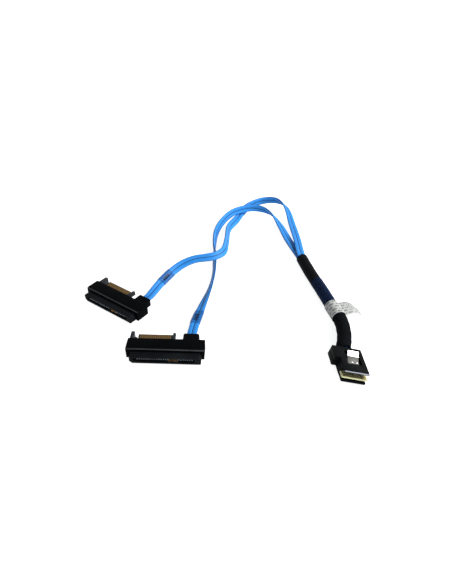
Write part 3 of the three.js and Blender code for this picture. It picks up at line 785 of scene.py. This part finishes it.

# %% [markdown]
# ### Metals
# Contacts are a thin gold flash over nickel. The lower contacts sit in the slot's shade and are painted pale
# gold as a painted glint. The latch is stamped stainless sheet: its pad and two hooks are painted bright as a
# painted highlight, and the rest is painted dark as a painted reflection of the window's black walls, with a
# duller finish. The cores are tinned copper wire. Each has faint scratches that spread its shine.

# %% Metals
SCRATCH_DEPTH = 0.004
# The pale gold is a painted glint, the bright stainless a painted highlight and the dark one a painted dark
# reflection.
# Name, colour, roughness and scratch size in mm.
METALS = [
    ("contact_gold_flash", "#72582f", 0.45, 0.3),
    ("latch_stainless_painted_highlight", "#ececee", 0.5, 0.5),
    ("contact_gold_painted_glint", "#ffd79c", 0.45, 0.3),
    ("latch_stainless_painted_dark_reflection", "#4c4b49", 0.55, 0.5),
    ("core_tinned_copper", "#b98a63", 0.35, 0.2),
]
metals = []
for name, base, roughness, scratch in METALS:
    material, tree, shader = surface(name, base, roughness, 1.0)
    spot = add_node(tree, "ShaderNodeTexCoord").outputs["Object"]
    lines = add_node(tree, "ShaderNodeTexNoise", {"Scale": 1 / (scratch * MM), "Detail": 4.0},
                     {"Vector": spot})
    add_node(tree, "ShaderNodeMapRange", {"To Min": roughness * 0.8, "To Max": roughness * 1.3},
             {"Value": lines.outputs["Fac"]}, {"Result": shader.inputs["Roughness"]})
    add_node(tree, "ShaderNodeBump", {"Distance": SCRATCH_DEPTH * MM}, {"Height": lines.outputs["Fac"]},
             {"Normal": shader.inputs["Normal"]})
    metals.append(material)
gold, latch_steel_painted_highlight, gold_painted_glint, latch_steel_painted_dark_reflection, copper = metals
print("metals:", len(metals))

# %% [markdown]
# ### Glass laminate
# Circuit boards are woven glass in epoxy. The plug's card shows its bare cut edge, a pale yellow green with a
# fibre of about 0.5 mm. The boards inside the housings are under green solder mask, with tracks that show
# through it as a change of tone.

# %% Card and boards
FIBRE = 0.5
TRACK = 1.4
laminate, tree, shader = surface("card_glass_laminate", "#cfd0a0", 0.5)
spot = add_node(tree, "ShaderNodeTexCoord").outputs["Object"]
fibre = add_node(tree, "ShaderNodeTexNoise", {"Scale": 1 / (FIBRE * MM), "Detail": 2.0}, {"Vector": spot})
tone(tree, shader, fibre.outputs["Fac"], "#b9bb86", "#dcdcb4")
green_board, tree, shader = surface("board_solder_mask", "#2f5c34", 0.35)
spot = add_node(tree, "ShaderNodeTexCoord").outputs["Object"]
tracks = add_node(tree, "ShaderNodeTexVoronoi", {"Scale": 1 / (TRACK * MM)}, {"Vector": spot})
tone(tree, shader, tracks.outputs["Distance"], "#3a7040", "#28502d", 0.05, 0.25)
print("board tracks, mm apart:", TRACK)

# %% [markdown]
# ## Dressing the cords
# Each cord piece gets its own material. The CAD's boards and cores stay as they are, hidden in the housings,
# and get theirs too, so that nothing is left grey.


# %% Dress the cords and the hidden pieces
def dress(piece, material):
    piece.data.materials.clear()
    piece.data.materials.append(material)


for piece in ribbon_pieces:
    dress(piece, ribbon_jacket)
for piece in band_pieces:
    dress(piece, film_material)
for piece, material in zip((tape, braid, shrink, label),
                           (tape_material, braid_material, shrink_material, label_material)):
    dress(piece, material)
for name, node in frame["nodes"].items():
    if "_core_" in name:
        dress(node, copper)
    if name.endswith("circuit_board"):
        dress(node, green_board)
print("materials:", len(bpy.data.materials))

# %% [markdown]
# ## Rounded mouldings
# The CAD solids have sharp edges, and real mouldings don't: light catches a thin rounded edge on every corner.
# A copy of each node is merged, its flat faces are joined again, and its edges are bevelled by up to a third
# of a millimetre. The copy keeps the CAD's place, because a node's place is in its mesh.


# %% Round the mouldings' edges
MERGE = 0.002       # mm between corners that are one corner
FLAT = math.radians(1)
SHARP = math.radians(30)
SMOOTH = math.radians(35)


def moulding(name, node, material, slot, width, segments=2, body="cable"):
    mesh = frame["nodes"][node].data.copy()
    mesh.name = name
    piece = bpy.data.objects.new(name, mesh)
    bpy.context.collection.objects.link(piece)
    choose(piece)
    bpy.ops.object.mode_set(mode="EDIT")
    bpy.ops.mesh.select_all(action="SELECT")
    bpy.ops.mesh.remove_doubles(threshold=MERGE * MM)
    bpy.ops.mesh.dissolve_limited(angle_limit=FLAT)
    bpy.ops.object.mode_set(mode="OBJECT")
    finish_with(piece, "BEVEL", width=width * MM, segments=segments, limit_method="ANGLE", angle_limit=SHARP)
    choose(piece)
    bpy.ops.object.shade_smooth_by_angle(angle=SMOOTH)
    dress(piece, material)
    stand_for(piece, slot, node, body=body)
    return piece


for k in (1, 2):
    moulding(f"drive_{k}_shell", f"drive_{k}_housing", housing_plastic, "housing_plastic", 0.35, 3)
    moulding(f"drive_{k}_socket", f"drive_{k}_receptacle", receptacle_plastic, "receptacle_plastic", 0.1)
    moulding(f"drive_{k}_header", f"drive_{k}_power_header", header_plastic, "header_plastic", 0.1)
moulding("plug_base", "plug_lower_shell", plug_plastic, "plug_plastic", 0.25, 3)
moulding("plug_cover", "plug_upper_shell", plug_plastic, "plug_plastic", 0.35, 3)
moulding("plug_card", "paddle_card", laminate, "card", 0.04)
press_latch = moulding("press_latch", "latch", latch_steel_painted_dark_reflection, "latch_metal", 0.06, body="latch")
print("latch faces:", len(press_latch.data.polygons))

# %% [markdown]
# ## Painted highlights on edges and the latch's pad
# The front edges that face up and forward, and the plug's lip, are painted paler, a painted highlight where
# light catches the rounded edge, and so are the latch's pad and two hooks. Such a place is picked by its face's
# centre and normal in the connector's own frame, where the front is towards minus y, so each connector's place
# and turn are given first.

# %% Painted highlights
# Place in mm and turn in radians. The plug also rises towards its cable.
DRIVES = [(-66.99, 21.17, -0.621), (-28.15, -25.61, -0.04)]
PLUG_PLACE = (77.19, -46.15, 2.14)
PLUG_TURN = 0.061
PLUG_TILT = 0.289
drive_frames = [Matrix.Translation((x * MM, y * MM, 0)) @ Matrix.Rotation(turn, 4, "Z")
                for x, y, turn in DRIVES]
plug_frame = (Matrix.Translation([v * MM for v in PLUG_PLACE]) @ Matrix.Rotation(PLUG_TURN, 4, "Z")
              @ Matrix.Rotation(PLUG_TILT, 4, "Y"))


def paint_highlight_faces(piece, material, frame_of_piece, chosen):
    """Gives the faces that chosen(centre in mm, normal) picks a second material, a painted highlight."""
    piece.data.materials.append(material)
    back = frame_of_piece.inverted()
    picked = [face for face in piece.data.polygons
              if chosen(back @ face.center / MM, back.to_3x3() @ face.normal)]
    for face in picked:
        face.material_index = 1
    print(piece.name, "faces with the second finish:", len(picked))


def front_edge(centre, normal):
    return normal.y < -0.3 and normal.z > 0.3


def lip(centre, normal):
    """The front edge of the plug's upper shell."""
    return front_edge(centre, normal) and centre.y < 1


def pad_or_hook(centre, normal):
    """The pad is the latch's highest part, and the hooks stand up at its front."""
    return centre.z > 7.8 or 7.3 < centre.y < 8.2 and centre.z > 5.9


for k, place in enumerate(drive_frames, 1):
    paint_highlight_faces(bpy.data.objects[f"drive_{k}_shell"], edge_painted_highlight, place, front_edge)
    paint_highlight_faces(bpy.data.objects[f"drive_{k}_socket"], edge_painted_highlight, place, front_edge)
paint_highlight_faces(bpy.data.objects["plug_cover"], lip_painted_highlight, plug_frame, lip)
# The latch's pad and hooks get a painted highlight over its painted dark reflection.
paint_highlight_faces(press_latch, latch_steel_painted_highlight, plug_frame, pad_or_hook)

# %% [markdown]
# ## Contacts
# Gold blades line the slots, one for each contact. One blade is a cube, scaled to size and bevelled in edit
# mode, and each copy gets its own mesh. A row of copies is joined, so it is cheap and can be named.


# %% Blocks and rows
def block(low, high, bevel):
    """A bevelled block between two corners, in mm, in a connector's own frame."""
    deselect()
    centre = [(a + b) / 2 * MM for a, b in zip(low, high)]
    bpy.ops.mesh.primitive_cube_add(size=1, location=centre)
    piece = bpy.context.object
    piece.scale = [(b - a) * MM for a, b in zip(low, high)]
    bpy.ops.object.transform_apply(location=True, rotation=True, scale=True)
    bpy.ops.object.mode_set(mode="EDIT")
    bpy.ops.mesh.select_all(action="SELECT")
    bpy.ops.mesh.bevel(offset=bevel * MM, segments=2, affect="EDGES")
    bpy.ops.object.mode_set(mode="OBJECT")
    return piece


def contact_row(name, shape, places, matrix, material, slot):
    """Copies of one block at places along x, joined as one piece in a connector's frame."""
    first = block(*shape)
    copies = []
    for x in places:
        copy = first.copy()
        copy.data = first.data.copy()
        copy.data.transform(Matrix.Translation((x * MM, 0, 0)))
        bpy.context.collection.objects.link(copy)
        copies.append(copy)
    bpy.data.objects.remove(first)
    choose(copies[0])
    for copy in copies:
        copy.select_set(True)
    bpy.ops.object.join()
    piece = bpy.context.object
    piece.name = name
    piece.data.name = name
    piece.data.transform(matrix)
    bpy.ops.object.shade_smooth_by_angle(angle=SMOOTH)
    dress(piece, material)
    stand_for(piece, slot)
    print(name, len(places))


# %% [markdown]
# ## Where the contacts stand
# A drive connector has two groups of contacts 1.27 mm apart, for power and for signals, with a closed gap
# between them. The second port's seven narrow contacts face that gap from below. The teeth of the comb stand
# between the upper contacts, half a pitch along.

# %% Rows of contacts
PITCH = 1.27
PORT_GAP = 6.35
SPAN = 20 * PITCH + PORT_GAP
OFFSET = -0.1               # of the slot's middle from the connector's, in mm
HEADER_MIDDLE = -7.45
CARD_PITCH = 0.8
# Low corner, high corner and bevel in mm.
UPPER_BLADE = ((-0.27, -4.62, 4.03), (0.27, -0.85, 4.5), 0.08)
LOWER_BLADE = ((-0.27, -4.15, 1.5), (0.27, -0.85, 1.97), 0.08)
POWER_STRIP = ((-0.42, 11.1, 3.6), (0.42, 15.7, 4.34), 0.05)
COMB_TOOTH = ((-0.26, -5.18, 3.75), (0.26, -4.25, 4.5), 0.06)
CARD_PAD = ((-0.22, -0.3, 3.0), (0.22, 2.95, 3.53), 0.02)


def spread(count, pitch, middle):
    return [middle + (i - (count - 1) / 2) * pitch for i in range(count)]


power_middle = OFFSET - SPAN / 2 + 7 * PITCH
signal_middle = OFFSET + SPAN / 2 - 3 * PITCH
upper_row = spread(15, PITCH, power_middle) + spread(7, PITCH, signal_middle)
gap_middle = (power_middle + 7 * PITCH + signal_middle - 3 * PITCH) / 2
lower_row = spread(7, PORT_GAP / 8, gap_middle)
header_row = spread(15, PITCH, HEADER_MIDDLE)
comb_row = [x + PITCH / 2 for x in upper_row]
for k, place in enumerate(drive_frames, 1):
    # The lower contacts take the painted glint, and the comb teeth the painted highlight.
    contact_row(f"drive_{k}_upper_contacts", UPPER_BLADE, upper_row, place, gold, "core_metal")
    contact_row(f"drive_{k}_lower_contacts", LOWER_BLADE, lower_row, place, gold_painted_glint, "core_metal")
    contact_row(f"drive_{k}_power_contacts", POWER_STRIP, header_row, place, gold, "core_metal")
    contact_row(f"drive_{k}_comb_teeth", COMB_TOOTH, comb_row, place, comb_painted_highlight, "receptacle_plastic")
contact_row("card_contacts", CARD_PAD, spread(18, CARD_PITCH, 0), plug_frame, gold, "core_metal")

# %% [markdown]
# ## Studio
# The photograph has a cut-out white ground and one soft main light from the right and a little behind, so faces
# that look right or up are bright and faces that look left or to the front are dark. A large area lamp gives
# that, a weaker one in front opens the slots a little, and a dim world fills the rest. The camera sees the
# world as plain white, and so do the rays that metal and glass pass on.


# %% World and lamps
def background_rays(tree):
    """1 for rays from the camera, and for those that metal and glass pass on."""
    rays = add_node(tree, "ShaderNodeLightPath").outputs
    passed_on = add_node(tree, "ShaderNodeMath", operation="MAXIMUM",
                         links={0: rays["Is Glossy Ray"], 1: rays["Is Transmission Ray"]})
    return add_node(tree, "ShaderNodeMath", operation="MAXIMUM",
                    links={0: rays["Is Camera Ray"], 1: passed_on.outputs["Value"]}).outputs["Value"]


def area_lamp(name, place, target, size, power):
    data = bpy.data.lights.new(name, "AREA")
    data.shape = "DISK"
    data.size = size
    data.energy = power
    lamp = bpy.data.objects.new(name, data)
    bpy.context.collection.objects.link(lamp)
    lamp.location = place
    lamp.rotation_euler = (Vector(target) - Vector(place)).to_track_quat("-Z", "Y").to_euler()
    print(name, "watts:", power)


WHITE = (1, 1, 1, 1)
COOL_FILL = (0.92, 0.96, 1, 1)
FILL_STRENGTH = 0.27
world = bpy.data.worlds.new("studio")
world.use_nodes = True
bpy.context.scene.world = world
tree = world.node_tree
tree.nodes.clear()
white = add_node(tree, "ShaderNodeBackground", {"Color": WHITE, "Strength": 1.0})
dim = add_node(tree, "ShaderNodeBackground", {"Color": COOL_FILL, "Strength": FILL_STRENGTH})
mix = add_node(tree, "ShaderNodeMixShader", links={0: background_rays(tree), 1: dim.outputs["Background"],
                                                   2: white.outputs["Background"]})
add_node(tree, "ShaderNodeOutputWorld", links={"Surface": mix.outputs["Shader"]})
# Place, target and size in metres, power in watts.
area_lamp("key_lamp", (0.6, 0.12, 0.5), (0, 0.05, 0), 0.45, 8.5)
area_lamp("front_lamp", (0.1, -0.7, 0.2), (0, 0.0, 0), 0.4, 3.0)

# %% [markdown]
# ## The ground
# The object lies on white paper. The paper takes the object's shadow, and to the camera it also glows, so that
# it comes out white as in a cut-out photograph without more light on the object. It lies a hair under the
# object, so that no face of the two falls together.

# %% Ground
GROUND_SIZE = 3             # metres
GROUND_DROP = 0.2           # mm under the object
GLOW = 0.83
deselect()
bpy.ops.mesh.primitive_plane_add(size=GROUND_SIZE, location=(0, 0, -GROUND_DROP * MM))
ground = bpy.context.object
ground.name = "ground"
bpy.ops.object.transform_apply(location=True, rotation=True, scale=True)
ground_material, tree, shader = surface("ground_white_paper", "#f4f4f4", 0.9)
tree.nodes.clear()
paper = add_node(tree, "ShaderNodeBsdfDiffuse", {"Color": colour("#d0d0d0")})
glow = add_node(tree, "ShaderNodeEmission", {"Color": WHITE, "Strength": GLOW})
glowing = add_node(tree, "ShaderNodeAddShader", links={0: paper.outputs["BSDF"], 1: glow.outputs["Emission"]})
seen = add_node(tree, "ShaderNodeMixShader", links={0: background_rays(tree), 1: paper.outputs["BSDF"],
                                                    2: glowing.outputs["Shader"]})
add_node(tree, "ShaderNodeOutputMaterial", links={"Surface": seen.outputs["Shader"]})
dress(ground, ground_material)
bpy.context.scene.view_settings.view_transform = "Standard"
print("ground, metres:", GROUND_SIZE)
